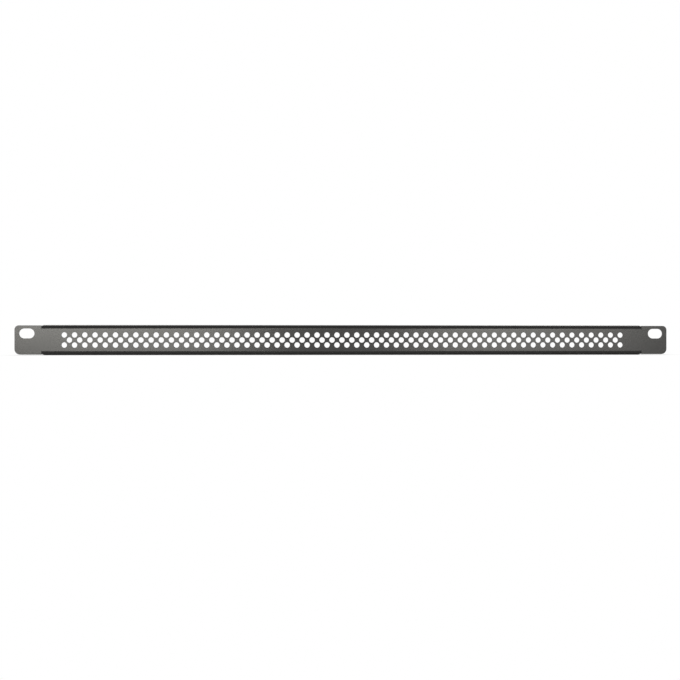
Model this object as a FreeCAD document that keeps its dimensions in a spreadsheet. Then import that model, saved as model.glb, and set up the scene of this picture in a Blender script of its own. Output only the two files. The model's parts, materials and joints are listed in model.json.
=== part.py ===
# Vented blanking panel for half a unit of a 19-inch rack, folded from one steel sheet.
#
# A flat web, perforated in three staggered rows, is stiffened by a flange folded backwards along its
# top and its bottom. Past the flanges the sheet runs on flat as the two ears, each with one slot for
# the rack's screw. The bends' ends are sheared free of the ears, and the flanges' ends are clipped.
#
# Row frame: X along the width, +Z up, the front face towards -Y. The origin lies halfway between the
# slots' centres on the back of the ears, which is the plane that seats on the rack's rails. The body
# itself is drawn about the panel's centreline, which is its X axis.

import FreeCAD, Part
import math
import os

import Sketcher
from FreeCAD import Vector

# name, size in millimetres, what it measures
SIZES = [
    ("panel_width", "482.6", "over both ears"),
    ("panel_height", "22.0", "over both flanges"),
    ("flange_depth", "15.0", "from the front face to the flanges' edges"),
    ("sheet_thickness", "1.2", "everywhere"),
    ("bend_inner_radius", "1.8", "inside of both bends"),
    ("flange_end_clip", "3.0", "taken off each flange's end, at 45 degrees from the bend"),
    ("ear_length", "19.3", "from the bends' ends to the panel's end"),
    ("ear_edge_step", "0.4", "an ear's top and bottom edges inside the flanges' outer faces"),
    ("ear_top_corner_radius", "3.0", "upper outer corner of each ear"),
    ("ear_bottom_corner_radius", "4.0", "lower outer corner of each ear"),
    ("slot_inset", "8.75", "from the panel's end to a slot's centre"),
    ("slot_below_top", "6.2375", "from the top flange's outer face to a slot's centre"),
    ("slot_length", "11.0", "end to end, along the width"),
    ("slot_height", "7.2", "across"),
    ("hole_diameter", "4.0", "of every vent hole"),
    ("hole_pitch", "7.35", "along a row; the rows are half of it apart"),
    ("hole_end_margin", "15.0", "least distance of a hole's centre from the bends' ends"),
]

# Sizes that follow from the sheet's.
HALF_WIDTH = "Sizes.panel_width / 2"
FLANGED_LENGTH = "Sizes.panel_width - 2 * Sizes.ear_length"
HALF_FLANGED = "Sizes.panel_width / 2 - Sizes.ear_length"
FLANGE_REACH = "Sizes.flange_depth - Sizes.sheet_thickness"
BEND_OUTER_RADIUS = "Sizes.bend_inner_radius + Sizes.sheet_thickness"
HALF_EAR_HEIGHT = "Sizes.panel_height / 2 - Sizes.ear_edge_step"
SLOT_RISE = "Sizes.panel_height / 2 - Sizes.slot_below_top"
SLOT_MIDDLE = "Sizes.panel_width / 2 - Sizes.slot_inset"
SLOT_FLAT = "Sizes.slot_length - Sizes.slot_height"
ROW_SPACING = "Sizes.hole_pitch / 2"
ROW_PITCHES = f"floor(({FLANGED_LENGTH} - 2 * Sizes.hole_end_margin) / Sizes.hole_pitch)"

# A sketch's own origin and axes, and the points of its lines and arcs, as Sketcher numbers them.
HORIZONTAL_AXIS, VERTICAL_AXIS = range(-1, -3, -1)
START, END, CENTRE = range(1, 4)
ORIGIN = (HORIZONTAL_AXIS, START)


def make_sheet(document):
    """The spreadsheet that holds the driving sizes."""
    sheet = document.addObject("Spreadsheet::Sheet", "Sizes")
    for row, (name, size, meaning) in enumerate(SIZES, start=1):
        sheet.set(f"A{row}", name)
        sheet.set(f"B{row}", size)
        sheet.set(f"C{row}", meaning)
        sheet.setAlias(f"B{row}", name)
    document.recompute()
    return sheet


def value_of(expression):
    """The number that an expression of the sheet's sizes gives."""
    return float(sizes.evalExpression(expression))


def origin_feature(body, role):
    """One of the body's own origin planes or axes."""
    return next(feature for feature in body.Origin.OriginFeatures if feature.Role == role)


def new_sketch(body, name, plane):
    """An empty sketch on one of the body's origin planes."""
    sketch = body.newObject("Sketcher::SketchObject", name)
    sketch.AttachmentSupport = (origin_feature(body, plane), [""])
    sketch.MapMode = "FlatFace"
    return sketch


def dimension(sketch, name, expression, kind, *where):
    """Adds a named dimension and binds it to an expression of the sheet's sizes."""
    index = sketch.addConstraint(Sketcher.Constraint(kind, *where, value_of(expression)))
    sketch.renameConstraint(index, name)
    sketch.setExpression(f"Constraints.{name}", expression)


def relate(sketch, kind, *where):
    """Adds a constraint that has no size."""
    sketch.addConstraint(Sketcher.Constraint(kind, *where))


def corner_arc(before, corner, after, radius):
    """The arc that rounds a corner, its two ends along the path, and which of them is its start."""
    inward = (corner - before).normalize()
    outward = (after - corner).normalize()
    turn = math.atan2(inward.cross(outward).z, inward.dot(outward))
    setback = radius * math.tan(abs(turn) / 2)
    first = corner - inward * setback
    last = corner + outward * setback
    side = math.copysign(1, turn)
    centre = first + Vector(-inward.y, inward.x, 0) * radius * side
    low, high = (first, last) if side > 0 else (last, first)
    start_angle = math.atan2(low.y - centre.y, low.x - centre.x)
    arc = Part.ArcOfCircle(Part.Circle(centre, Vector(0, 0, 1), radius), start_angle, start_angle + abs(turn))
    return arc, first, last, START if side > 0 else END


def draw_loop(sketch, corners):
    """Draws a closed loop through (x, y, radius) corners, with an arc where the radius isn't zero.

    Side i runs from corner i to the next. Returns the sides' numbers and the arcs' by corner."""
    points = [Vector(x, y, 0) for x, y, radius in corners]
    count = len(points)
    arcs = {}
    ends = {}
    for i, (x, y, radius) in enumerate(corners):
        ends[i] = (points[i], points[i])
        if radius:
            arc, first, last, entry = corner_arc(points[i - 1], points[i], points[(i + 1) % count], radius)
            arcs[i] = (sketch.addGeometry(arc), entry)
            ends[i] = (first, last)
    sides = []
    for i in range(count):
        line = Part.LineSegment(ends[i][1], ends[(i + 1) % count][0])
        sides.append(sketch.addGeometry(line))
    for i in range(count):
        if i in arcs:
            arc, entry = arcs[i]
            relate(sketch, "Tangent", sides[i - 1], END, arc, entry)
            relate(sketch, "Tangent", arc, START + END - entry, sides[i], START)
        else:
            relate(sketch, "Coincident", sides[i - 1], END, sides[i], START)
        step = points[(i + 1) % count] - points[i]
        if step.x == 0:
            relate(sketch, "Vertical", sides[i])
        if step.y == 0:
            relate(sketch, "Horizontal", sides[i])
    return sides, {i: arc for i, (arc, entry) in arcs.items()}


def draw_section(body):
    """The folded section: the web between two flanges, with both bends."""
    sketch = new_sketch(body, "FoldedSectionSketch", "YZ_Plane")
    thickness = value_of("Sizes.sheet_thickness")
    half_height = value_of("Sizes.panel_height / 2")
    reach = value_of(FLANGE_REACH)
    outer = value_of(BEND_OUTER_RADIUS)
    inner = value_of("Sizes.bend_inner_radius")
    sides, arcs = draw_loop(
        sketch,
        [
            (-thickness, -half_height, outer),
            (reach, -half_height, 0),
            (reach, -half_height + thickness, 0),
            (0, -half_height + thickness, inner),
            (0, half_height - thickness, inner),
            (reach, half_height - thickness, 0),
            (reach, half_height, 0),
            (-thickness, half_height, outer),
        ],
    )
    bottom, bottom_edge, bottom_inside, back, top_inside, top_edge, top, front = sides
    relate(sketch, "PointOnObject", back, START, VERTICAL_AXIS)
    relate(sketch, "Equal", arcs[0], arcs[7])
    relate(sketch, "Equal", arcs[3], arcs[4])
    relate(sketch, "Equal", bottom, top)
    dimension(sketch, "WebThickness", "Sizes.sheet_thickness", "DistanceX", front, START, back, START)
    dimension(sketch, "BottomThickness", "Sizes.sheet_thickness", "Distance", bottom_edge)
    dimension(sketch, "TopThickness", "Sizes.sheet_thickness", "Distance", top_edge)
    dimension(sketch, "AboveCentre", "Sizes.panel_height / 2", "DistanceY", *ORIGIN, top, START)
    dimension(sketch, "BelowCentre", "Sizes.panel_height / 2", "DistanceY", bottom, END, *ORIGIN)
    dimension(sketch, "Reach", FLANGE_REACH, "DistanceX", back, START, bottom, END)
    dimension(sketch, "BendOuterRadius", BEND_OUTER_RADIUS, "Radius", arcs[0])
    dimension(sketch, "BendInnerRadius", "Sizes.bend_inner_radius", "Radius", arcs[3])
    return sketch


def draw_ear(body):
    """The right-hand ear's outline, from the bends' end to the panel's end."""
    sketch = new_sketch(body, "EarSketch", "XZ_Plane")
    inner_end = value_of(HALF_FLANGED)
    outer_end = value_of(HALF_WIDTH)
    half_height = value_of(HALF_EAR_HEIGHT)
    sides, arcs = draw_loop(
        sketch,
        [
            (inner_end, -half_height, 0),
            (outer_end, -half_height, value_of("Sizes.ear_bottom_corner_radius")),
            (outer_end, half_height, value_of("Sizes.ear_top_corner_radius")),
            (inner_end, half_height, 0),
        ],
    )
    bottom, outside, top, inside = sides
    dimension(sketch, "AboveCentre", HALF_EAR_HEIGHT, "DistanceY", *ORIGIN, inside, START)
    dimension(sketch, "BelowCentre", HALF_EAR_HEIGHT, "DistanceY", inside, END, *ORIGIN)
    dimension(sketch, "InnerEnd", HALF_FLANGED, "DistanceX", *ORIGIN, inside, START)
    dimension(sketch, "OuterEnd", HALF_WIDTH, "DistanceX", *ORIGIN, outside, START)
    dimension(sketch, "BottomRadius", "Sizes.ear_bottom_corner_radius", "Radius", arcs[1])
    dimension(sketch, "TopRadius", "Sizes.ear_top_corner_radius", "Radius", arcs[2])
    return sketch


def draw_slot(body):
    """The right-hand ear's slot: two round ends joined by level sides."""
    sketch = new_sketch(body, "SlotSketch", "XZ_Plane")
    middle = value_of(SLOT_MIDDLE)
    rise = value_of(SLOT_RISE)
    radius = value_of("Sizes.slot_height / 2")
    half_flat = value_of(SLOT_FLAT) / 2
    left_centre = Vector(middle - half_flat, rise, 0)
    right_centre = Vector(middle + half_flat, rise, 0)
    up = Vector(0, radius, 0)
    normal = Vector(0, 0, 1)
    quarter = math.pi / 2
    left_circle = Part.Circle(left_centre, normal, radius)
    right_circle = Part.Circle(right_centre, normal, radius)
    left = sketch.addGeometry(Part.ArcOfCircle(left_circle, quarter, 3 * quarter))
    right = sketch.addGeometry(Part.ArcOfCircle(right_circle, -quarter, quarter))
    top = sketch.addGeometry(Part.LineSegment(right_centre + up, left_centre + up))
    bottom = sketch.addGeometry(Part.LineSegment(left_centre - up, right_centre - up))
    relate(sketch, "Tangent", top, END, left, START)
    relate(sketch, "Tangent", left, END, bottom, START)
    relate(sketch, "Tangent", bottom, END, right, START)
    relate(sketch, "Tangent", right, END, top, START)
    relate(sketch, "Horizontal", top)
    relate(sketch, "Equal", left, right)
    dimension(sketch, "EndRadius", "Sizes.slot_height / 2", "Radius", left)
    dimension(sketch, "Rise", SLOT_RISE, "DistanceY", *ORIGIN, left, CENTRE)
    dimension(sketch, "LeftCentre", f"{SLOT_MIDDLE} - ({SLOT_FLAT}) / 2", "DistanceX", *ORIGIN, left, CENTRE)
    dimension(sketch, "Flat", SLOT_FLAT, "DistanceX", left, CENTRE, right, CENTRE)
    return sketch


def draw_flange_clip(body):
    """What is cut from the right-hand ends of both flanges, from above.

    The cut starts where the back of the ear meets the bends' ends, runs inwards at 45 degrees and
    then straight back past the flanges' edges."""
    sketch = new_sketch(body, "FlangeClipSketch", "XY_Plane")
    end = value_of(HALF_FLANGED)
    clip = value_of("Sizes.flange_end_clip")
    depth = value_of("Sizes.flange_depth")
    sides, arcs = draw_loop(
        sketch,
        [
            (end, 0, 0),
            (end, depth, 0),
            (end - clip, depth, 0),
            (end - clip, clip, 0),
        ],
    )
    outside, back, inside, slant = sides
    relate(sketch, "PointOnObject", outside, START, HORIZONTAL_AXIS)
    dimension(sketch, "OuterEnd", HALF_FLANGED, "DistanceX", *ORIGIN, outside, START)
    dimension(sketch, "ClipLength", "Sizes.flange_end_clip", "DistanceX", inside, END, slant, END)
    dimension(sketch, "ClipDepth", "Sizes.flange_end_clip", "DistanceY", slant, END, inside, END)
    dimension(sketch, "Depth", "Sizes.flange_depth", "DistanceY", outside, START, outside, END)
    return sketch


def draw_hole(body, name, pitches, drop):
    """The first hole of a row of so many pitches, as far below the centreline as drop says."""
    sketch = new_sketch(body, name, "XZ_Plane")
    half_span = f"({pitches}) * Sizes.hole_pitch / 2"
    centre = Vector(-value_of(half_span), -value_of(drop), 0)
    radius = value_of("Sizes.hole_diameter / 2")
    circle = sketch.addGeometry(Part.Circle(centre, Vector(0, 0, 1), radius))
    dimension(sketch, "Diameter", "Sizes.hole_diameter", "Diameter", circle)
    dimension(sketch, "HalfSpan", half_span, "DistanceX", circle, CENTRE, *ORIGIN)
    if centre.y:
        dimension(sketch, "Drop", drop, "DistanceY", circle, CENTRE, *ORIGIN)
    else:
        relate(sketch, "PointOnObject", circle, CENTRE, HORIZONTAL_AXIS)
    return sketch


def cut_through(body, name, sketch):
    """Cuts a sketch on the back of the web or of an ear forwards through the sheet."""
    pocket = body.newObject("PartDesign::Pocket", name)
    pocket.Profile = sketch
    pocket.Type = "ThroughAll"
    pocket.Reversed = True
    return pocket


def repeat_along_row(body, name, hole, pitches):
    """Repeats a row's first hole at every pitch along the row."""
    pattern = body.newObject("PartDesign::LinearPattern", name)
    pattern.Originals = [hole]
    pattern.Direction = (origin_feature(body, "X_Axis"), [""])
    pattern.Mode = "Spacing"
    pattern.setExpression("Offset", "Sizes.hole_pitch")
    pattern.setExpression("Occurrences", f"{pitches} + 1")
    body.Tip = pattern
    return pattern


def repeat_row_above(body, pattern):
    """Makes a row's pattern two rows, the second one a pitch higher."""
    pattern.Direction2 = (origin_feature(body, "Z_Axis"), [""])
    pattern.Mode2 = "Extent"
    pattern.setExpression("Length2", "Sizes.hole_pitch")
    pattern.Occurrences2 = 2


def mirror_to_left(body, name, features):
    """Repeats features of the right-hand end at the left-hand end."""
    mirror = body.newObject("PartDesign::Mirrored", name)
    mirror.Originals = features
    mirror.MirrorPlane = (origin_feature(body, "YZ_Plane"), [""])
    body.Tip = mirror
    return mirror


def make_panel(document):
    """The whole panel, which is one sheet."""
    body = document.addObject("PartDesign::Body", "Panel")
    body.Label = "panel"

    section = body.newObject("PartDesign::Pad", "FoldedSection")
    section.Profile = draw_section(body)
    section.SideType = "Symmetric"
    section.setExpression("Length", FLANGED_LENGTH)

    clip = body.newObject("PartDesign::Pocket", "RightFlangeClip")
    clip.Profile = draw_flange_clip(body)
    clip.Type = "ThroughAll"
    clip.SideType = "Symmetric"
    document.recompute()
    mirror_to_left(body, "LeftFlangeClip", [clip])

    ear = body.newObject("PartDesign::Pad", "RightEar")
    ear.Profile = draw_ear(body)
    ear.setExpression("Length", "Sizes.sheet_thickness")
    slot = cut_through(body, "RightSlot", draw_slot(body))
    document.recompute()
    mirror_to_left(body, "LeftEarAndSlot", [ear, slot])

    outer_sketch = draw_hole(body, "OuterRowsHoleSketch", ROW_PITCHES, ROW_SPACING)
    outer_hole = cut_through(body, "OuterRowsHole", outer_sketch)
    document.recompute()
    outer_rows = repeat_along_row(body, "OuterRows", outer_hole, ROW_PITCHES)
    repeat_row_above(body, outer_rows)

    middle_sketch = draw_hole(body, "MiddleRowHoleSketch", f"{ROW_PITCHES} - 1", "0")
    middle_hole = cut_through(body, "MiddleRowHole", middle_sketch)
    document.recompute()
    repeat_along_row(body, "MiddleRow", middle_hole, f"{ROW_PITCHES} - 1")

    body.setExpression("Placement.Base.z", f"-({SLOT_RISE})")
    document.recompute()
    return body


def check(document):
    """Stops on a failed object, a loose sketch or a cut that removes nothing."""
    for item in document.Objects:
        if "Invalid" in item.State or "Error" in item.State:
            raise RuntimeError(f"{item.Name} failed: {item.State}")
        if item.TypeId == "Sketcher::SketchObject" and not item.FullyConstrained:
            raise RuntimeError(f"{item.Name} isn't fully constrained")
        if item.TypeId in ("PartDesign::Pocket", "PartDesign::LinearPattern"):
            if item.Shape.Volume >= item.BaseFeature.Shape.Volume:
                raise RuntimeError(f"{item.Name} removes nothing")


def write(body):
    """Writes the body's shape as a STEP file that is named after its label."""
    shape = body.Shape
    if shape.isNull() or not shape.isValid() or len(shape.Solids) != 1:
        raise RuntimeError(f"{body.Label} isn't one valid solid")
    shape.exportStep(f"parts/{body.Label}.step")
    print(f"{body.Label}: {shape.Volume:.1f} mm3, {shape.BoundBox}")


document = FreeCAD.newDocument("RackBlankingPanel")
sizes = make_sheet(document)
panel = make_panel(document)
check(document)
os.makedirs("parts", exist_ok=True)
write(panel)
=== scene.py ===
import json
import math

import bmesh
import bpy
from bpy.props import FloatProperty, FloatVectorProperty, IntProperty, PointerProperty
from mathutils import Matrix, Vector


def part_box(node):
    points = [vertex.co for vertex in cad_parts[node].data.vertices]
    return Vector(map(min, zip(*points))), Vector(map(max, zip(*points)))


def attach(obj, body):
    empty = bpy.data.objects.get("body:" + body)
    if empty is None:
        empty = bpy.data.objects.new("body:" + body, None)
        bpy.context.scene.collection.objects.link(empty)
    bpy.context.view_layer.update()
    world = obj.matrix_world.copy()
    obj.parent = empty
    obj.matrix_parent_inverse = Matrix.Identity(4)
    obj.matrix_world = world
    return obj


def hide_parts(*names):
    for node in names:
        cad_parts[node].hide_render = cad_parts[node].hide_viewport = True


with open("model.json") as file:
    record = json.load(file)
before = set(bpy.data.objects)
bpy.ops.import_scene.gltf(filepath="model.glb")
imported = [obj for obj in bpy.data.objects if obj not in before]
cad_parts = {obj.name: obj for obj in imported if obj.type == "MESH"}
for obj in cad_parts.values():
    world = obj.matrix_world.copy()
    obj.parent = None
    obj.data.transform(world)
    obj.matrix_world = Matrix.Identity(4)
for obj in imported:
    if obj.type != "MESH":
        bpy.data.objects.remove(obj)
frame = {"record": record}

bl_info = {
    "name": "Vented rack blanking panel",
    "version": (1, 0, 0),
    "blender": (4, 5, 0),
    "location": "3D View > Sidebar > Rack Panel",
    "description": "Builds a folded and perforated half-unit blanking panel in a plain studio",
    "category": "Object",
}

# Lengths are in metres. X runs along the panel, -Y is the front that faces the room, and Z is up.
# The origin is midway between the two rack slots, on the back of the ears.
MM = 0.001
CAD_LOW, CAD_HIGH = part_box("panel")
SLOTS = frame["record"]["mounts"][0]["dims"]
# The origin lies this far above the panel's middle, about which the flat blank is drawn.
ORIGIN_RISE = -(CAD_LOW.z + CAD_HIGH.z) / 2
QUARTER_TURN = math.pi / 2


def linear(hex_colour):
    """The linear RGBA of an sRGB hex colour such as 8a8a85."""
    channels = [int(hex_colour[place : place + 2], 16) / 255 for place in (0, 2, 4)]
    return [c / 12.92 if c <= 0.04045 else ((c + 0.055) / 1.055) ** 2.4 for c in channels] + [1.0]


# ---------------------------------------------------------------- what a user would change


def length(name, description, default):
    """A length in metres, shown in the scene's own unit."""
    return FloatProperty(
        name=name, description=description, default=default, min=0, precision=5, unit="LENGTH"
    )


class SheetSizes(bpy.types.PropertyGroup):
    width: length("Width", "Over both ears", CAD_HIGH.x - CAD_LOW.x)
    height: length("Height", "Over the two folded flanges", CAD_HIGH.z - CAD_LOW.z)
    depth: length("Depth", "From the front to the flanges' edges", CAD_HIGH.y - CAD_LOW.y)
    thickness: length("Sheet thickness", "Of the steel, with its coat", -CAD_LOW.y)
    bend_radius: length("Bend radius", "On the inside of each fold", 1.8 * MM)
    ear_length: length("Ear length", "From the flanges' ends to the panel's end", 19.3 * MM)
    ear_step: length("Ear step", "How far the ears' edges lie inside the folds", 0.4 * MM)
    ear_top_radius: length("Top corner radius", "Of the ears' upper corners", 3 * MM)
    ear_bottom_radius: length("Bottom corner radius", "Of the ears' lower corners", 4 * MM)
    flange_clip: length("Flange clip", "Cut off each end of the flanges behind the ear", 3 * MM)
    slot_spacing: length("Slot spacing", "Between the slots' middles", SLOTS["spacing_x_mm"] * MM)
    slot_length: length("Slot length", "Over its round ends", SLOTS["slot_length_mm"] * MM)
    slot_height: length("Slot height", "Of each rack slot", 2 * SLOTS["hole_r_mm"] * MM)
    rim: length("Rim radius", "Of every cut edge under its coat", 0.15 * MM)


class VentSizes(bpy.types.PropertyGroup):
    hole_diameter: length("Hole diameter", "Of each vent hole", 4 * MM)
    pitch: length("Pitch", "Between the holes of a row", 7.35 * MM)
    row_spacing: length("Row spacing", "Between neighbouring rows", 3.675 * MM)
    long_row: IntProperty(
        name="Holes in a long row", description="The middle row has one less", default=57, min=2
    )
    sides: IntProperty(
        name="Sides", description="Straight sides that make up each hole", default=24, min=8
    )


class FinishChoices(bpy.types.PropertyGroup):
    coat: FloatVectorProperty(
        name="Coat",
        description="Colour of the powder coat",
        subtype="COLOR",
        size=4,
        min=0,
        max=1,
        default=linear("201f1e"),
    )
    floor: FloatVectorProperty(
        name="Floor",
        description="Colour of the floor and the wall",
        subtype="COLOR",
        size=4,
        min=0,
        max=1,
        default=linear("ffffff"),
    )
    roughness: FloatProperty(
        name="Roughness",
        description="Of the powder coat",
        subtype="FACTOR",
        default=0.23,
        min=0,
        max=1,
    )


# ---------------------------------------------------------------- nodes


# Where nodes stand in the node editor: in rows, each node in a space of its own.
NODES_ACROSS = 12
NODE_SPACE_X = 190
NODE_SPACE_Y = 260
# A Mix node's colour sockets go by number, because its other kinds of socket have the same names.
MIX_A = 6
MIX_B = 7
MIX_RESULT = 2


def add_node(tree, kind, inputs=None, **settings):
    """A new node of that kind, with its settings, and each input set or linked from a socket."""
    row, column = divmod(len(tree.nodes), NODES_ACROSS)
    node = tree.nodes.new(kind)
    node.location = (NODE_SPACE_X * column, -NODE_SPACE_Y * row)
    for name, value in settings.items():
        setattr(node, name, value)
    for key, value in (inputs or {}).items():
        if isinstance(value, bpy.types.NodeSocket):
            tree.links.new(value, node.inputs[key])
        else:
            node.inputs[key].default_value = value
    return node


def new_material(name):
    """An empty node material and its tree."""
    material = bpy.data.materials.new(name)
    material.use_nodes = True
    material.node_tree.nodes.clear()
    return material, material.node_tree


# The coat's pattern at its real size: shallow waves, the grain on them, and cloudy patches.
WAVE_WIDTH = 1.6 * MM
WAVE_DEPTH = 0.02 * MM
GRAIN_WIDTH = 0.35 * MM
GRAIN_DEPTH = 0.004 * MM
CLOUD_WIDTH = 30 * MM
# How far the colour and the roughness stray from their means, each way.
TINT_SPREAD = 0.08
ROUGHNESS_SPREAD = 0.04


def powder_coat(finish):
    """Black polyester powder coat, baked on steel: satin, with a fine orange peel."""
    material, tree = new_material("satin black powder coat")
    place = add_node(tree, "ShaderNodeTexCoord").outputs["Object"]
    # The melted powder draws into shallow waves as it bakes, and the cured skin has its own grain.
    waves = add_node(
        tree, "ShaderNodeTexNoise", {"Vector": place, "Scale": 1 / WAVE_WIDTH, "Detail": 1.0}
    )
    grain = add_node(
        tree, "ShaderNodeTexNoise", {"Vector": place, "Scale": 1 / GRAIN_WIDTH, "Detail": 0.0}
    )
    # Under the clouds the film is a little thicker, and so a little darker.
    clouds = add_node(
        tree, "ShaderNodeTexNoise", {"Vector": place, "Scale": 1 / CLOUD_WIDTH, "Detail": 2.0}
    )
    thin = [channel * (1 + TINT_SPREAD) for channel in finish.coat[:3]] + [1.0]
    thick = [channel * (1 - TINT_SPREAD) for channel in finish.coat[:3]] + [1.0]
    colour = add_node(
        tree,
        "ShaderNodeMix",
        {0: clouds.outputs["Fac"], MIX_A: thin, MIX_B: thick},
        data_type="RGBA",
    )
    gloss = add_node(
        tree,
        "ShaderNodeMapRange",
        {
            "Value": grain.outputs["Fac"],
            "To Min": finish.roughness - ROUGHNESS_SPREAD,
            "To Max": finish.roughness + ROUGHNESS_SPREAD,
        },
    )
    peel = add_node(
        tree,
        "ShaderNodeBump",
        {"Height": waves.outputs["Fac"], "Strength": 0.35, "Distance": WAVE_DEPTH},
    )
    texture = add_node(
        tree,
        "ShaderNodeBump",
        {
            "Height": grain.outputs["Fac"],
            "Normal": peel.outputs["Normal"],
            "Strength": 0.2,
            "Distance": GRAIN_DEPTH,
        },
    )
    coat = add_node(
        tree,
        "ShaderNodeBsdfPrincipled",
        {
            "Base Color": colour.outputs[MIX_RESULT],
            "Roughness": gloss.outputs["Result"],
            "Normal": texture.outputs["Normal"],
            "IOR": 1.5,
        },
    )
    add_node(tree, "ShaderNodeOutputMaterial", {"Surface": coat.outputs["BSDF"]})
    return material


# How steeply the contact shadow deepens towards what casts it.
SHADOW_POWER = 2.0


def studio_white(name, finish, contact):
    """Matt paper that reads as white, and darkens within that distance of what stands on it.

    With no distance it stays white all over.
    """
    material, tree = new_material(name)
    rays = add_node(tree, "ShaderNodeLightPath")
    looked_at = add_node(
        tree,
        "ShaderNodeMath",
        {0: rays.outputs["Is Camera Ray"], 1: rays.outputs["Is Glossy Ray"]},
        operation="MAXIMUM",
    )
    seen = add_node(
        tree,
        "ShaderNodeMath",
        {0: looked_at.outputs[0], 1: rays.outputs["Is Transmission Ray"]},
        operation="MAXIMUM",
    )
    share = seen
    if contact:
        openness = add_node(tree, "ShaderNodeAmbientOcclusion", {"Distance": contact}, samples=8)
        falloff = add_node(
            tree,
            "ShaderNodeMath",
            {0: openness.outputs["AO"], 1: SHADOW_POWER},
            operation="POWER",
        )
        share = add_node(
            tree,
            "ShaderNodeMath",
            {0: seen.outputs[0], 1: falloff.outputs[0]},
            operation="MULTIPLY",
        )
    paper = add_node(tree, "ShaderNodeBsdfDiffuse", {"Color": finish.floor})
    bright = add_node(tree, "ShaderNodeEmission", {"Color": finish.floor, "Strength": 1.0})
    surface = add_node(
        tree,
        "ShaderNodeMixShader",
        {0: share.outputs[0], 1: paper.outputs[0], 2: bright.outputs[0]},
    )
    add_node(tree, "ShaderNodeOutputMaterial", {"Surface": surface.outputs[0]})
    return material


# ---------------------------------------------------------------- the flat blank

# How many straight pieces make a fold, a rim's quarter round, and a corner or a slot's quarter.
BEND_STEPS = 10
RIM_STEPS = 3
ARC_STEPS = 8
# The cut that frees each flange from the ear beside it.
SLIT = 0.04 * MM


def arc(centre_x, centre_s, radius, start, turn, steps=ARC_STEPS):
    """Points along an arc, both ends included. Angles are in quarter turns."""
    angles = [QUARTER_TURN * (start + turn * step / steps) for step in range(steps + 1)]
    return [(centre_x + radius * math.cos(a), centre_s + radius * math.sin(a)) for a in angles]


def bend_start(sheet):
    """How far from the centreline each fold begins."""
    return sheet.height / 2 - sheet.bend_radius - sheet.thickness


def bend_allowance(sheet):
    """The flat length that each fold takes up, along the middle of the sheet."""
    return QUARTER_TURN * (sheet.bend_radius + sheet.thickness / 2)


def flange_side(sheet):
    """A flange's right-hand end, from the slit beside the ear up to its free edge.

    Once folded, it slants inwards from the ear's back, then runs straight back.
    """
    start = bend_start(sheet)
    fold = bend_allowance(sheet)
    end = sheet.width / 2 - sheet.ear_length - SLIT
    clipped = end - sheet.flange_clip
    outer_radius = sheet.bend_radius + sheet.thickness
    rows = []
    for step in range(BEND_STEPS + 1):
        turn = QUARTER_TURN * step / BEND_STEPS
        # How far behind the ear's back the outside of the fold has come.
        behind_ear = sheet.bend_radius - outer_radius * math.cos(turn)
        rows.append((end - max(behind_ear, 0), start + fold * step / BEND_STEPS))
    slant = start + fold + sheet.flange_clip - sheet.bend_radius
    top = start + fold + sheet.depth - sheet.thickness - sheet.bend_radius
    return rows + [(clipped, slant), (clipped, top)]


def ear_side(sheet):
    """The right-hand ear's outline, from the lower slit round to the upper one."""
    inner = sheet.width / 2 - sheet.ear_length
    outer = sheet.width / 2
    edge = sheet.height / 2 - sheet.ear_step
    low, high = sheet.ear_bottom_radius, sheet.ear_top_radius
    slit_end = bend_start(sheet) - sheet.rim
    points = [(inner - SLIT, -slit_end), (inner, -slit_end), (inner, -edge)]
    points += arc(outer - low, low - edge, low, -1, 1)
    points += arc(outer - high, edge - high, high, 0, 1)
    return points + [(inner, edge), (inner, slit_end), (inner - SLIT, slit_end)]


def slot_outline(sheet, side):
    """The slot in the ear on that side, anticlockwise from the front."""
    middle = side * sheet.slot_spacing / 2
    radius = sheet.slot_height / 2
    flat = (sheet.slot_length - sheet.slot_height) / 2
    right = arc(middle + flat, ORIGIN_RISE, radius, -1, 2, 2 * ARC_STEPS)
    return right + arc(middle - flat, ORIGIN_RISE, radius, 1, 2, 2 * ARC_STEPS)


def inset(outline, distance):
    """The outline moved by that distance to its left, which is inwards for an anticlockwise one."""
    moved = []
    for place, here in enumerate(outline):
        here = Vector(here)
        before = (here - Vector(outline[place - 1])).normalized()
        after = (Vector(outline[(place + 1) % len(outline)]) - here).normalized()
        left = Vector((-before.y - after.y, before.x + after.x)) / (1 + before.dot(after))
        moved.append(here + left * distance)
    return moved


def rim_profile(sheet):
    """How far each ring of a cut edge lies inside it, and at what depth, from front to back."""
    front = []
    for step in range(RIM_STEPS + 1):
        angle = QUARTER_TURN * step / RIM_STEPS
        front.append((sheet.rim * (1 - math.sin(angle)), sheet.rim * (1 - math.cos(angle))))
    back = [(inward, sheet.thickness - depth) for inward, depth in reversed(front)]
    return front + back


def add_rim(mesh, outline, sheet, outward=1):
    """The cut edge all round an outline. Returns the corner rings on the front and the back."""
    rings = []
    for inward, depth in rim_profile(sheet):
        points = inset(outline, outward * inward)
        rings.append([mesh.verts.new((x, depth - sheet.thickness, s)) for x, s in points])
    for near, far in zip(rings, rings[1:]):
        for place in range(len(outline)):
            mesh.faces.new((near[place - 1], near[place], far[place], far[place - 1]))
    return rings[0], rings[-1]


def fill(mesh, loops):
    """Flat faces between an outer loop and the loops inside it."""
    edges = []
    for loop in loops:
        for place, corner in enumerate(loop):
            ends = (loop[place - 1], corner)
            edges.append(mesh.edges.get(ends) or mesh.edges.new(ends))
    bmesh.ops.triangle_fill(mesh, use_beauty=True, edges=edges)


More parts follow.
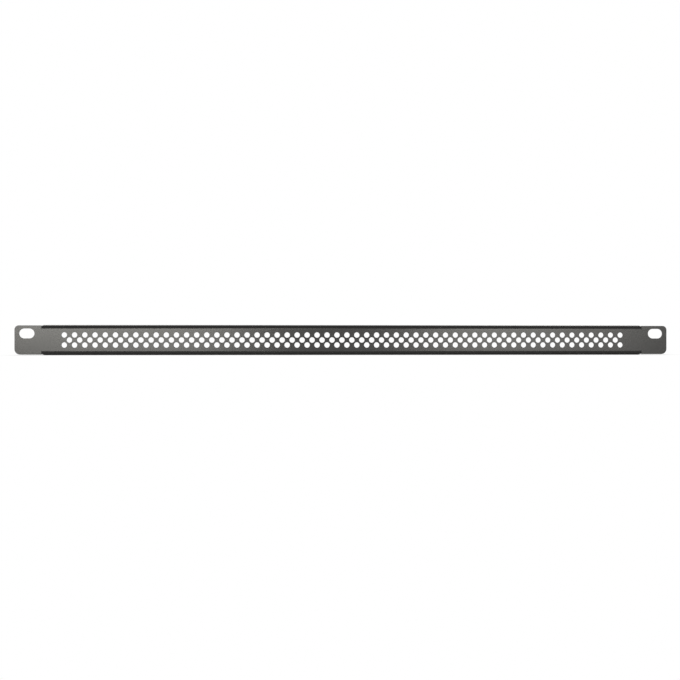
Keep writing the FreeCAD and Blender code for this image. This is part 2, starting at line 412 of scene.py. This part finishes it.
def flat_blank(sheet):
    """The closed steel blank before it is perforated and folded, its back on Y zero."""
    mesh = bmesh.new()
    flange = flange_side(sheet)
    right = [(x, -s) for x, s in reversed(flange)] + ear_side(sheet) + flange
    outline = right + [(-x, s) for x, s in reversed(right)]
    faces = add_rim(mesh, outline, sheet)
    slots = [add_rim(mesh, slot_outline(sheet, side), sheet, -1) for side in (-1, 1)]
    # The folds start on the right at these corners of the outline, and on the left at their
    # mirror images, counted from the last corner.
    foot = len(flange) - 1
    head = foot + len(ear_side(sheet)) + 1
    last = len(outline) - 1
    for layer, ring in enumerate(faces):
        # Long strips across each fold, and one plain face for the flat of each flange.
        for first, step in ((foot, -1), (head, 1)):
            for row in range(BEND_STEPS):
                here, there = first + step * row, first + step * (row + 1)
                mesh.faces.new((ring[here], ring[there], ring[last - there], ring[last - here]))
            # The flat has the fold's end, the slant's end and the free edge's end on each side.
            flat = [first + step * row for row in range(BEND_STEPS, BEND_STEPS + 3)]
            mirrored = [last - place for place in reversed(flat)]
            mesh.faces.new([ring[place] for place in flat + mirrored])
        web = ring[foot : head + 1] + ring[last - head : last - foot + 1]
        fill(mesh, [web] + [slot[layer] for slot in slots])
    bmesh.ops.recalc_face_normals(mesh, faces=mesh.faces)
    data = bpy.data.meshes.new("flat_blank")
    mesh.to_mesh(data)
    mesh.free()
    return bpy.data.objects.new("flat_blank", data)


# ---------------------------------------------------------------- perforating and folding


# A punch starts as a drum one long, with rings a sixth and a half of that from its middle.
DRUM_SEGMENTS = 3
BETWEEN_RINGS = 1 / 3


def perforate_and_fold():
    """The tree that punches the staggered vent holes in a flat blank, then folds its flanges."""
    tree = bpy.data.node_groups.new("Perforate and fold", "GeometryNodeTree")
    wanted = (
        ("Blank", "NodeSocketGeometry"),
        ("Hole Diameter", "NodeSocketFloat"),
        ("Pitch", "NodeSocketFloat"),
        ("Row Spacing", "NodeSocketFloat"),
        ("Holes in a Long Row", "NodeSocketInt"),
        ("Sides", "NodeSocketInt"),
        ("Rim", "NodeSocketFloat"),
        ("Thickness", "NodeSocketFloat"),
        ("Fold Start", "NodeSocketFloat"),
        ("Fold Allowance", "NodeSocketFloat"),
        ("Fold Radius", "NodeSocketFloat"),
        ("Flange Half Length", "NodeSocketFloat"),
        ("Drop", "NodeSocketFloat"),
        ("Finish", "NodeSocketMaterial"),
    )
    for name, kind in wanted:
        tree.interface.new_socket(name, in_out="INPUT", socket_type=kind)
    tree.interface.new_socket("Panel", in_out="OUTPUT", socket_type="NodeSocketGeometry")
    known = dict(tree.nodes.new("NodeGroupInput").outputs.items())
    place = add_node(tree, "GeometryNodeInputPosition").outputs[0]
    known.update(add_node(tree, "ShaderNodeSeparateXYZ", {0: place}).outputs.items())

    # Each sum gives its result's name, the operation, and its terms: known names or plain numbers.
    sums = (
        # The drum's inner rings make a straight waist, and its ends flare past the sheet's faces,
        # so that it is one rim wider where it cuts them.
        ("height on drum", "ABSOLUTE", "Z"),
        ("beyond rim", "GREATER_THAN", "height on drum", BETWEEN_RINGS),
        ("flare", "MULTIPLY", "Rim", 2.0),
        ("half sheet", "MULTIPLY", "Thickness", 0.5),
        ("half waist", "SUBTRACT", "half sheet", "Rim"),
        ("half hole", "MULTIPLY", "Hole Diameter", 0.5),
        ("drum radius", "MULTIPLY_ADD", "beyond rim", "flare", "half hole"),
        ("drum reach", "MULTIPLY_ADD", "beyond rim", "flare", "half waist"),
        ("side of drum", "SIGN", "Z"),
        ("drum x", "MULTIPLY", "X", "drum radius"),
        ("drum y", "MULTIPLY", "Y", "drum radius"),
        ("drum z", "MULTIPLY", "side of drum", "drum reach"),
        # Two long rows with a middle row of one less between them, half a pitch along.
        ("gaps", "SUBTRACT", "Holes in a Long Row", 1.0),
        ("row length", "MULTIPLY", "gaps", "Pitch"),
        ("rows apart", "MULTIPLY", "Row Spacing", 2.0),
        ("middle gaps", "SUBTRACT", "gaps", 1.0),
        ("middle length", "MULTIPLY", "middle gaps", "Pitch"),
        ("middle start", "MULTIPLY", "middle length", -0.5),
        ("mid sheet", "MULTIPLY", "half sheet", -1.0),
        # Past the fold's start, a point turns with the sheet until the allowance is used up.
        ("from middle", "ABSOLUTE", "Z"),
        ("past start", "SUBTRACT", "from middle", "Fold Start"),
        ("share turned", "DIVIDE", "past start", "Fold Allowance"),
        ("share held", "MINIMUM", "share turned", 1.0),
        ("angle", "MULTIPLY", "share held", QUARTER_TURN),
        ("cosine", "COSINE", "angle"),
        ("sine", "SINE", "angle"),
        ("swing", "SUBTRACT", "Fold Radius", "Y"),
        ("swing left", "MULTIPLY", "swing", "cosine"),
        ("back by fold", "SUBTRACT", "Fold Radius", "swing left"),
        ("past fold", "SUBTRACT", "past start", "Fold Allowance"),
        ("straight run", "MAXIMUM", "past fold", 0.0),
        ("folded y", "ADD", "back by fold", "straight run"),
        ("rise", "MULTIPLY_ADD", "swing", "sine", "Fold Start"),
        ("up or down", "SIGN", "Z"),
        ("folded z", "MULTIPLY", "rise", "up or down"),
        # The ears lie past the slits and stay flat.
        ("from centre", "ABSOLUTE", "X"),
        ("between slits", "LESS_THAN", "from centre", "Flange Half Length"),
        ("in fold", "GREATER_THAN", "past start", 0.0),
        ("on flange", "MULTIPLY", "between slits", "in fold"),
        ("lowering", "MULTIPLY", "Drop", -1.0),
    )
    for result, operation, *terms in sums:
        inputs = {socket: known.get(term, term) for socket, term in enumerate(terms)}
        known[result] = add_node(
            tree, "ShaderNodeMath", inputs, operation=operation, label=result
        ).outputs[0]
    # Each place gives its result's name and the names of its X, Y and Z.
    places = (
        ("drum place", ("drum x", "drum y", "drum z")),
        ("middle first", ("middle start", None, None)),
        ("middle step", ("Pitch", None, None)),
        ("sheet middle", (None, "mid sheet", None)),
        ("folded place", ("X", "folded y", "folded z")),
        ("lowered", (None, None, "lowering")),
    )
    for result, parts in places:
        inputs = {axis: known[part] for axis, part in enumerate(parts) if part}
        known[result] = add_node(tree, "ShaderNodeCombineXYZ", inputs, label=result).outputs[0]

    drum = add_node(
        tree,
        "GeometryNodeMeshCylinder",
        {
            "Vertices": known["Sides"],
            "Side Segments": DRUM_SEGMENTS,
            "Radius": 1.0,
            "Depth": 1.0,
        },
    )
    punch = add_node(
        tree,
        "GeometryNodeSetPosition",
        {"Geometry": drum.outputs["Mesh"], "Position": known["drum place"]},
    )
    long_rows = add_node(
        tree,
        "GeometryNodeMeshGrid",
        {
            "Size X": known["row length"],
            "Size Y": known["rows apart"],
            "Vertices X": known["Holes in a Long Row"],
            "Vertices Y": 2,
        },
    )
    middle_row = add_node(
        tree,
        "GeometryNodeMeshLine",
        {
            "Count": known["gaps"],
            "Start Location": known["middle first"],
            "Offset": known["middle step"],
        },
        mode="OFFSET",
    )
    rows = add_node(tree, "GeometryNodeJoinGeometry")
    tree.links.new(long_rows.outputs["Mesh"], rows.inputs[0])
    tree.links.new(middle_row.outputs["Mesh"], rows.inputs[0])
    punches = add_node(
        tree,
        "GeometryNodeInstanceOnPoints",
        {"Points": rows.outputs[0], "Instance": punch.outputs[0]},
    )
    real = add_node(tree, "GeometryNodeRealizeInstances", {0: punches.outputs[0]})
    upright = add_node(
        tree,
        "GeometryNodeTransform",
        {
            "Geometry": real.outputs[0],
            "Translation": known["sheet middle"],
            "Rotation": (QUARTER_TURN, 0.0, 0.0),
        },
    )
    punched = add_node(
        tree,
        "GeometryNodeMeshBoolean",
        {0: known["Blank"], 1: upright.outputs[0]},
        operation="DIFFERENCE",
        solver="MANIFOLD",
    )
    folded = add_node(
        tree,
        "GeometryNodeSetPosition",
        {
            "Geometry": punched.outputs[0],
            "Selection": known["on flange"],
            "Position": known["folded place"],
        },
    )
    placed = add_node(
        tree,
        "GeometryNodeTransform",
        {"Geometry": folded.outputs[0], "Translation": known["lowered"]},
    )
    smooth = add_node(tree, "GeometryNodeSetShadeSmooth", {"Geometry": placed.outputs[0]})
    whole = add_node(tree, "GeometryNodeRealizeInstances", {0: smooth.outputs[0]})
    coated = add_node(
        tree,
        "GeometryNodeSetMaterial",
        {"Geometry": whole.outputs[0], "Material": known["Finish"]},
    )
    add_node(tree, "NodeGroupOutput", {0: coated.outputs[0]})
    return tree


def set_inputs(modifier, values):
    """Sets each of the modifier's named inputs by its socket's identifier."""
    sockets = {item.name: item.identifier for item in modifier.node_group.interface.items_tree}
    for name, value in values.items():
        modifier[sockets[name]] = value


def settled(source, name):
    """A new object at the origin, with what the source's modifiers make of it as a plain mesh."""
    bpy.context.scene.collection.objects.link(source)
    graph = bpy.context.evaluated_depsgraph_get()
    data = bpy.data.meshes.new_from_object(
        source.evaluated_get(graph), preserve_all_data_layers=True, depsgraph=graph
    )
    flat_data = source.data
    bpy.data.objects.remove(source)
    bpy.data.meshes.remove(flat_data)
    data.name = name
    made = bpy.data.objects.new(name, data)
    bpy.context.scene.collection.objects.link(made)
    return made


# A face that looks along an axis this closely is flat, and outweighs the rims that meet it.
FLAT_ENOUGH = 0.9999
FLAT_WEIGHT = 1000.0


def shade_evenly(data):
    """Flat faces keep their own direction right up to the small rims, which turn smoothly."""
    flats = [max(abs(part) for part in face.normal) > FLAT_ENOUGH for face in data.polygons]
    shared = [Vector() for corner in data.vertices]
    for face, is_flat in zip(data.polygons, flats):
        for corner in face.vertices:
            shared[corner] += face.normal * (FLAT_WEIGHT if is_flat else 1.0)
    directions = []
    for face, is_flat in zip(data.polygons, flats):
        for corner in face.vertices:
            directions.append(face.normal if is_flat else shared[corner].normalized())
    data.normals_split_custom_set(directions)


# ---------------------------------------------------------------- the pieces


class RACKPANEL_OT_panel(bpy.types.Operator):
    """Make the panel: a flat steel blank, perforated, folded and powder coated"""

    bl_idname = "rackpanel.panel"
    bl_label = "Blanking panel"

    def execute(self, context):
        sheet = context.scene.rack_panel_sheet
        vents = context.scene.rack_panel_vents
        finish = powder_coat(context.scene.rack_panel_finish)
        blank = flat_blank(sheet)
        blank.data.materials.append(finish)
        fold = blank.modifiers.new("Perforate and fold", "NODES")
        fold.node_group = perforate_and_fold()
        set_inputs(
            fold,
            {
                "Hole Diameter": vents.hole_diameter,
                "Pitch": vents.pitch,
                "Row Spacing": vents.row_spacing,
                "Holes in a Long Row": vents.long_row,
                "Sides": vents.sides,
                "Rim": sheet.rim,
                "Thickness": sheet.thickness,
                "Fold Start": bend_start(sheet),
                "Fold Allowance": bend_allowance(sheet),
                "Fold Radius": sheet.bend_radius,
                "Flange Half Length": sheet.width / 2 - sheet.ear_length - SLIT / 2,
                "Drop": ORIGIN_RISE,
                "Finish": finish,
            },
        )
        panel = settled(blank, "blanking_panel")
        holes = 3 * vents.long_row - 1
        if len(panel.data.polygons) < holes * vents.sides:
            raise RuntimeError("the blank came out without its holes")
        shade_evenly(panel.data)
        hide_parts("panel")
        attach(panel, "root")
        return {"FINISHED"}


# ---------------------------------------------------------------- the stage

# The floor ends short of the round wall, which goes on down past it, so no line shows between them.
FLOOR_REACH = 2.0
WALL_RADIUS = 3.0
WALL_BOTTOM = -1.5
WALL_TOP = 1.3
WALL_STEPS = 64
CONTACT_SHADOW = 25 * MM
SKY_STRENGTH = 0.36
LAMP_WHITE = "fffdf5"
# Each lamp's name, place, aim, width, height and radiance. The three in front stand low, side by
# side, and the gap between the first two leaves the middle of the front darker.
LAMPS = (
    ("lamp_left", (-0.305, -0.80, 0.08), (-0.305, 0, 0.08), 0.41, 0.18, 8.1),
    ("lamp_right", (0.25, -0.80, 0.08), (0.25, 0, 0.08), 0.18, 0.18, 7.3),
    ("lamp_far_right", (0.43, -0.80, 0.08), (0.43, 0, 0.08), 0.18, 0.18, 3.8),
    ("lamp_back_left", (-0.7, 1.0, 0.6), (0, 0, 0), 0.90, 0.90, 1.0),
    ("lamp_back_right", (0.7, 1.0, 0.6), (0, 0, 0), 0.90, 0.90, 1.0),
)
# The camera stands level with the panel's middle, a little to its left.
SENSOR_MM = 36.0
LENS_MM = 57.33
LENS_SHIFT = -0.0102
NEAREST_SEEN = 0.01
FARTHEST_SEEN = 20.0
CAMERA_AZIMUTH = math.radians(-3.78)
CAMERA_DISTANCE = 0.80


def add_backdrop(name, corners, faces, material):
    """A part of the stage, from its corners and faces."""
    data = bpy.data.meshes.new(name)
    data.from_pydata(corners, [], faces)
    data.materials.append(material)
    data.shade_smooth()
    made = bpy.data.objects.new(name, data)
    bpy.context.scene.collection.objects.link(made)


def add_floor(name, material):
    """A square floor at the height of what the panel rests on."""
    signs = ((-1, -1), (1, -1), (1, 1), (-1, 1))
    corners = [(x * FLOOR_REACH, y * FLOOR_REACH, CAD_LOW.z) for x, y in signs]
    add_backdrop(name, corners, [(0, 1, 2, 3)], material)


def add_wall(name, material):
    """A round wall about the object, which stands behind it in every view."""
    corners = []
    for step in range(WALL_STEPS):
        turn = math.tau * step / WALL_STEPS
        across = WALL_RADIUS * math.cos(turn)
        along = WALL_RADIUS * math.sin(turn)
        corners += [(across, along, WALL_BOTTOM), (across, along, WALL_TOP)]
    faces = []
    for step in range(WALL_STEPS):
        here, there = 2 * step, 2 * ((step + 1) % WALL_STEPS)
        faces.append((here, here + 1, there + 1, there))
    add_backdrop(name, corners, faces, material)


def add_lamp(name, place, aim, width, height, radiance):
    """A soft rectangular lamp of that radiance, which looks from its place at its aim."""
    data = bpy.data.lights.new(name, "AREA")
    data.shape = "RECTANGLE"
    data.size, data.size_y = width, height
    data.energy = radiance * math.pi * width * height
    data.color = linear(LAMP_WHITE)[:3]
    lamp = bpy.data.objects.new(name, data)
    lamp.location = place
    lamp.rotation_mode = "QUATERNION"
    lamp.rotation_quaternion = (Vector(aim) - Vector(place)).to_track_quat("-Z", "Y")
    lamp.visible_camera = False
    bpy.context.scene.collection.objects.link(lamp)


class RACKPANEL_OT_stage(bpy.types.Operator):
    """Make the stage: a white floor and wall, soft lamps and the camera"""

    bl_idname = "rackpanel.stage"
    bl_label = "Stage"

    def execute(self, context):
        finish = context.scene.rack_panel_finish
        add_floor("floor", studio_white("matt white floor", finish, CONTACT_SHADOW))
        add_wall("wall", studio_white("matt white wall", finish, 0.0))
        for lamp in LAMPS:
            add_lamp(*lamp)

        world = bpy.data.worlds.new("studio")
        world.use_nodes = True
        background = world.node_tree.nodes["Background"]
        background.inputs["Color"].default_value = linear("ffffff")
        background.inputs["Strength"].default_value = SKY_STRENGTH
        context.scene.world = world

        lens = bpy.data.cameras.new("camera")
        lens.sensor_width = SENSOR_MM
        lens.lens = LENS_MM
        lens.shift_x = LENS_SHIFT
        lens.clip_start = NEAREST_SEEN
        lens.clip_end = FARTHEST_SEEN
        camera = bpy.data.objects.new("camera", lens)
        front_middle = Vector((0, CAD_LOW.y, -ORIGIN_RISE))
        away = Vector((math.sin(CAMERA_AZIMUTH), -math.cos(CAMERA_AZIMUTH), 0)) * CAMERA_DISTANCE
        camera.location = front_middle + away
        camera.rotation_mode = "QUATERNION"
        camera.rotation_quaternion = (-away).to_track_quat("-Z", "Y")
        context.scene.collection.objects.link(camera)
        context.scene.camera = camera
        context.scene.view_settings.view_transform = "Standard"
        return {"FINISHED"}


class RACKPANEL_PT_sidebar(bpy.types.Panel):
    bl_label = "Vented rack blanking panel"
    bl_idname = "RACKPANEL_PT_sidebar"
    bl_space_type = "VIEW_3D"
    bl_region_type = "UI"
    bl_category = "Rack Panel"

    def draw(self, context):
        for title, settings in (
            ("Sheet", context.scene.rack_panel_sheet),
            ("Vents", context.scene.rack_panel_vents),
            ("Finish", context.scene.rack_panel_finish),
        ):
            box = self.layout.box()
            box.label(text=title)
            for name in settings.__annotations__:
                box.prop(settings, name)
        self.layout.operator(RACKPANEL_OT_panel.bl_idname)
        self.layout.operator(RACKPANEL_OT_stage.bl_idname)


CLASSES = (
    SheetSizes,
    VentSizes,
    FinishChoices,
    RACKPANEL_OT_panel,
    RACKPANEL_OT_stage,
    RACKPANEL_PT_sidebar,
)
SETTINGS = {
    "rack_panel_sheet": SheetSizes,
    "rack_panel_vents": VentSizes,
    "rack_panel_finish": FinishChoices,
}


def register():
    for item in CLASSES:
        bpy.utils.register_class(item)
    for name, group in SETTINGS.items():
        setattr(bpy.types.Scene, name, PointerProperty(type=group))


def unregister():
    for name in SETTINGS:
        delattr(bpy.types.Scene, name)
    for item in reversed(CLASSES):
        bpy.utils.unregister_class(item)


def main():
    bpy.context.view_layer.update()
    register()
    bpy.ops.rackpanel.panel()
    bpy.ops.rackpanel.stage()


if __name__ == "__main__":
    main()
